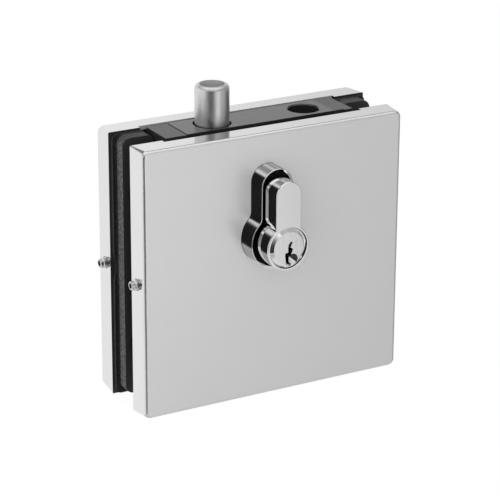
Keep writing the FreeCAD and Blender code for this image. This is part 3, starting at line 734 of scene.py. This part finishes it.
# Hidden steel, brass, nylon and acetal
insideLook = {
    "steel": {
        "dark": grey(0.364),
        "light": grey(0.572),
        "rough": (0.24, 0.36),
        "depth": 0.003 * mm,
    },
    "brass": {
        "dark": (0.50, 0.34, 0.14, 1),
        "light": (0.72, 0.52, 0.24, 1),
        "rough": (0.32, 0.2),
        "rings": (300, 300, 6000),
    },
    "nylon": {
        "dark": (0.72, 0.70, 0.64, 1),
        "light": (0.80, 0.79, 0.74, 1),
        "rough": (0.42, 0.54),
        "haze": 260.0,
        "pores": 2200.0,
        "depth": 0.01 * mm,
        "relief": 0.4,
    },
    "acetal": {
        "dark": grey(0.0126),
        "light": grey(0.0252),
        "rough": (0.36, 0.5),
        "haze": (200, 200, 4000),
        "depth": 0.004 * mm,
    },
}


def twoTone(tree, skin, look, toneShare, roughShare):
    # Tone and roughness that wander between two values each
    feed(tree, skin.inputs["Base Color"], blendTone(tree, toneShare, look["dark"], look["light"]))
    feed(tree, skin.inputs["Roughness"], ramp(tree, roughShare, *noiseRange, *look["rough"]))


def finishInside():
    look = insideLook["steel"]
    mat, tree, skin, place = newFinish("oiledSteel", Metallic=1.0)
    lines = useEffect(tree, "polishLines", place)
    twoTone(tree, skin, look, lines["Clouds"], lines["Lines"])
    addRelief(tree, skin, lines["Lines"], look["depth"])
    dress(mat, "bolt_carrier", "carrier_pin", "cam", "cam_clutch", "front_circlip", "rear_circlip",
          "pad_spring", "driver_springs")

    look = insideLook["brass"]
    mat, tree, skin, place = newFinish("turnedBrass", Metallic=1.0)
    rings = noise(tree, stretched(tree, place, look["rings"]), 1.0, detail=2.0)
    twoTone(tree, skin, look, rings, rings)
    dress(mat, "front_key_pins", "rear_key_pins", "driver_pins")

    look = insideLook["nylon"]
    mat, tree, skin, place = newFinish("naturalNylon", IOR=1.53)
    haze = noise(tree, place, look["haze"])
    twoTone(tree, skin, look, haze, haze)
    pores = noise(tree, place, look["pores"], detail=2.0)
    addRelief(tree, skin, pores, look["depth"], look["relief"])
    dress(mat, "friction_pad")

    look = insideLook["acetal"]
    mat, tree, skin, place = newFinish("blackAcetal", IOR=1.48)
    haze = noise(tree, stretched(tree, place, look["haze"]), 1.0)
    twoTone(tree, skin, look, haze, haze)
    addRelief(tree, skin, haze, look["depth"])
    dress(mat, "bolt_bush", "clamp_sleeves")


finishCovers()
chrome = finishChrome()
plugChrome = finishPlugs()
blackCoat = finishCastings()
finishFaceplate()
finishGaskets()
finishBolt()
zinc = finishScrews()
finishInside()
print("finishes ready")


# Set screws with real threads and hexagon sockets, in place of the plain ones
setScrew = {
    "radius": 2.0 * mm,
    "root": 1.62 * mm,
    "length": 8.0 * mm,
    "point": 1.1 * mm,
    "pitch": 0.7 * mm,
    "chamfer": 0.2 * mm,
    "plainEnd": 1.4 * mm,
    "socket": 2.0 * mm,
    "socketDeep": 2.3 * mm,
    "turnSteps": 24,
    "ridge": (0, 0.36, 0.46, 0.82),  # corners of the thread's ridge, in pitches
    "ridgeSunk": 0.08 * mm,
    "tipSlope": 0.8,
    "sides": 36,
    "rim": 0.2 * mm,
    "merge": 0.005 * mm,
    "sharp": 32,
    "frontRightIn": 0.7 * mm,
    "socketTurn": 0.4,
    "socketTurnPerMetre": 90,
}


def socketReach(angle):
    # Distance from the middle to a hexagon's side at this angle
    return setScrew["socket"] / 2 / math.cos(angle % (math.pi / 3) - math.pi / 6)


def screwCore(bm):
    # Shank turned about Z, its hexagon socket sunk into the top
    tipR = setScrew["root"] - setScrew["point"] * setScrew["tipSlope"]
    length = setScrew["length"]
    outline = [(0, 0), (tipR, 0), (setScrew["root"], setScrew["point"]),
               (setScrew["root"], length - setScrew["chamfer"]),
               (setScrew["root"] - setScrew["chamfer"], length)]
    verts = [bm.verts.new((r, 0, z)) for r, z in outline]
    edges = [bm.edges.new(pair) for pair in zip(verts, verts[1:])]
    bmesh.ops.spin(bm, geom=verts + edges, cent=(0, 0, 0), axis=(0, 0, 1), angle=2 * math.pi,
                   steps=setScrew["sides"], use_merge=True)
    bmesh.ops.remove_doubles(bm, verts=bm.verts, dist=setScrew["merge"])
    rim = [e for e in bm.edges if e.is_boundary]
    cap = bmesh.ops.contextual_create(bm, geom=rim)["faces"]
    bmesh.ops.inset_region(bm, faces=cap, thickness=setScrew["rim"])
    for v in cap[0].verts:
        angle = math.atan2(v.co.y, v.co.x)
        reach = socketReach(angle)
        v.co.x = reach * math.cos(angle)
        v.co.y = reach * math.sin(angle)
    sunk = bmesh.ops.extrude_face_region(bm, geom=cap)["geom"]
    bmesh.ops.delete(bm, geom=cap, context="FACES_ONLY")
    low = [v for v in sunk if isinstance(v, bmesh.types.BMVert)]
    bmesh.ops.translate(bm, verts=low, vec=(0, 0, -setScrew["socketDeep"]))


def screwThread(bm):
    # One ridge wound up the shank
    run = setScrew["length"] - setScrew["plainEnd"] - setScrew["point"]
    turns = run / setScrew["pitch"]
    steps = int(turns * setScrew["turnSteps"])
    inner = setScrew["root"] - setScrew["ridgeSunk"]
    outer = setScrew["radius"]
    pitch = setScrew["pitch"]
    heights = [setScrew["point"] + pitch * share for share in setScrew["ridge"]]
    verts = [bm.verts.new((r, 0, h)) for r, h in zip((inner, outer, outer, inner), heights)]
    edges = [bm.edges.new((verts[i], verts[(i + 1) % 4])) for i in range(4)]
    made = bmesh.ops.spin(bm, geom=verts + edges, cent=(0, 0, 0), axis=(0, 0, 1),
                          dvec=(0, 0, pitch / setScrew["turnSteps"]),
                          angle=2 * math.pi * steps / setScrew["turnSteps"], steps=steps)
    last = [v for v in made["geom_last"] if isinstance(v, bmesh.types.BMVert)]
    bm.faces.new(verts)
    bm.faces.new(last)


def buildSetScrews():
    low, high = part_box("set_screws")
    middle = (low.z + high.z) / 2
    offset = high.y - setScrew["radius"]
    whole = bmesh.new()
    for side in (-1, 1):
        for y in (-offset, offset):
            one = bmesh.new()
            screwCore(one)
            screwThread(one)
            bmesh.ops.recalc_face_normals(one, faces=one.faces)
            # The front and rear sockets stand at angles of their own
            socketTurn = setScrew["socketTurn"] + y * setScrew["socketTurnPerMetre"]
            turned = Matrix.Rotation(socketTurn, 4, "Z")
            turn = Matrix.Rotation(side * math.pi / 2, 4, "Y") @ turned
            sunk = setScrew["frontRightIn"] if side > 0 and y < 0 else 0.0
            start = Vector((side * (high.x - setScrew["length"] - sunk), y, middle))
            bmesh.ops.transform(one, matrix=Matrix.Translation(start) @ turn, verts=one.verts)
            part = bpy.data.meshes.new("screwPart")
            one.to_mesh(part)
            one.free()
            whole.from_mesh(part)
            bpy.data.meshes.remove(part)
    piece = newPiece(whole, "threadedSetScrews", zinc)
    piece.data.shade_smooth()
    piece.data.set_sharp_from_angle(angle=math.radians(setScrew["sharp"]))
    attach(piece, "housing")
    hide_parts("set_screws")


buildSetScrews()
print("threaded set screws in place")


def ownNormals(piece, sharp):
    # Shading from the changed shape, without the normals that came with the frame's mesh
    mesh = piece.data
    carried = mesh.attributes.get("custom_normal")
    if carried:
        mesh.attributes.remove(carried)
    mesh.shade_smooth()
    mesh.set_sharp_from_angle(angle=math.radians(sharp))
    weighted = piece.modifiers.new("weightedNormals", "WEIGHTED_NORMAL")
    weighted.keep_sharp = True


# Collars again, the mouth's inner edge sloped inwards and the floor round the cylinder black
collarMouth = {
    "slope": 0.6 * mm,
    "near": 0.001 * mm,
    "sharp": 30,
    "upright": 0.05,
    "level": 0.99,
    "floorFrom": 1.0 * mm,
    "floorTo": 6.5 * mm,
}


def collarRing(bm, rimY):
    # Points of the inner edge, where the flat rim meets the wall of the recess
    ring = set()
    for edge in bm.edges:
        onRim = all(abs(v.co.y - rimY) < collarMouth["near"] for v in edge.verts)
        if onRim and len(edge.link_faces) == 2:
            lean = sorted(abs(f.normal.y) for f in edge.link_faces)
            if lean[0] < collarMouth["upright"] and lean[1] > collarMouth["level"]:
                ring.update(edge.verts)
    return list(ring)


def buildCollar(name, outward):
    low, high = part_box(name)
    rimY = high.y if outward > 0 else low.y
    bm = bmesh.new()
    bm.from_mesh(nodes[name].data)
    bmesh.ops.remove_doubles(bm, verts=bm.verts, dist=collarMouth["near"])
    bmesh.ops.translate(bm, verts=collarRing(bm, rimY), vec=(0, -outward * collarMouth["slope"], 0))
    bm.normal_update()
    for face in bm.faces:
        depth = abs(face.calc_center_median().y - rimY)
        inRecess = collarMouth["floorFrom"] < depth < collarMouth["floorTo"]
        if inRecess and face.normal.y * outward > collarMouth["level"]:
            face.material_index = 1
    piece = newPiece(bm, name + "Sloped", chrome, blackCoat)
    ownNormals(piece, collarMouth["sharp"])
    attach(piece, "housing")
    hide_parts(name)


buildCollar("front_collar", -1)
buildCollar("back_collar", 1)
print("collars in place")


# Plugs again, with a wider and steeper edge to the head
plugHead = {
    "radius": 7.55 * mm,
    "flat": 6.25 * mm,
    "flatNew": 5.9 * mm,
    "drop": 0.35 * mm,
    "lower": 0.42 * mm,
    "near": 0.02 * mm,
    "slack": 0.02,
    "merge": 0.001 * mm,
    "sharp": 8,
}


def buildPlug(name, body, outward):
    low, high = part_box(name)
    faceY = high.y if outward > 0 else low.y
    bm = bmesh.new()
    bm.from_mesh(nodes[name].data)
    bmesh.ops.remove_doubles(bm, verts=bm.verts, dist=plugHead["merge"])
    bmesh.ops.recalc_face_normals(bm, faces=bm.faces)
    moved = 0
    for v in bm.verts:
        out = Vector((v.co.x, 0, v.co.z)) - Vector(plugLook["axis"])
        along = (out.length - plugHead["flat"]) / (plugHead["radius"] - plugHead["flat"])
        coneY = faceY - outward * plugHead["drop"] * along
        onEdge = -plugHead["slack"] < along < 1 + plugHead["slack"]
        if not onEdge or abs(v.co.y - coneY) > plugHead["near"]:
            continue
        reach = plugHead["flatNew"] + along * (plugHead["radius"] - plugHead["flatNew"])
        shift = out * (reach / out.length - 1)
        shift.y = -outward * along * plugHead["lower"]
        bmesh.ops.translate(bm, verts=[v], vec=shift)
        moved += 1
    print(name, "edge points moved:", moved)
    piece = newPiece(bm, name + "Turned", plugChrome)
    ownNormals(piece, plugHead["sharp"])
    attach(piece, body)
    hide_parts(name)


buildPlug("front_plug", "key_side", -1)
buildPlug("rear_plug", "rear_side", 1)
print("plugs in place")
